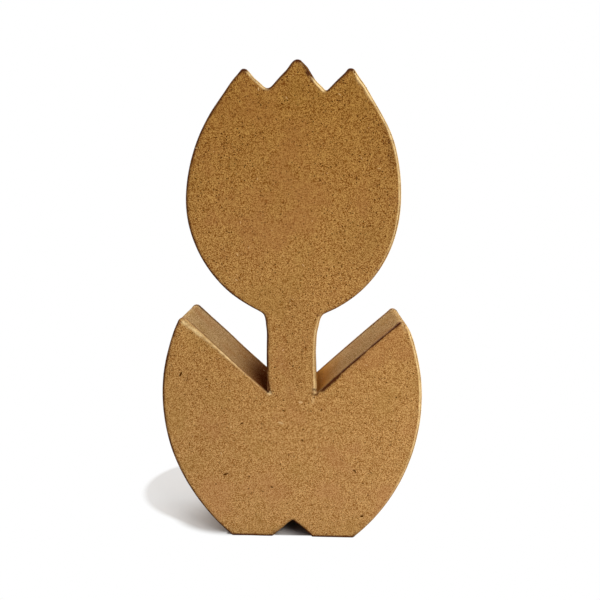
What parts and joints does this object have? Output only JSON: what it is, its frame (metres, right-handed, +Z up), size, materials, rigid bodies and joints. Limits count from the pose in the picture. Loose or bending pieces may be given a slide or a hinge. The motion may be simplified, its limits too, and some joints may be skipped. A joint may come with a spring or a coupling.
{
  "type": "paper tulip",
  "caption": "Hollow free-standing tulip ornament of boards, bent card walls and kraft paper, with flower, stem and two leaves cut in one outline.",
  "frame": {"origin": "middle of the footprint, on the surface that the tulip stands on", "axes": "+X to the viewer's right, the front face looks along -Y, +Z up along the stem"},
  "size_m": [0.109, 0.04, 0.1992],
  "materials": {
    "kraft_paper": "matte",
    "greyboard": "matte",
    "wall_card": "matte"
  },
  "bodies": {
    "root": {"front_board": "greyboard", "back_board": "greyboard", "base_wall": "wall_card", "right_leaf_wall": "wall_card", "right_nook_wall": "wall_card", "right_head_wall": "wall_card", "crown_wall": "wall_card", "left_head_wall": "wall_card", "left_nook_wall": "wall_card", "left_leaf_wall": "wall_card", "base_strip": "kraft_paper", "right_leaf_strip": "kraft_paper", "right_nook_strip": "kraft_paper", "right_head_strip": "kraft_paper", "crown_strip": "kraft_paper", "left_head_strip": "kraft_paper", "left_nook_strip": "kraft_paper", "left_leaf_strip": "kraft_paper", "front_cover": "kraft_paper", "back_cover": "kraft_paper"}
  },
  "joints": []
}
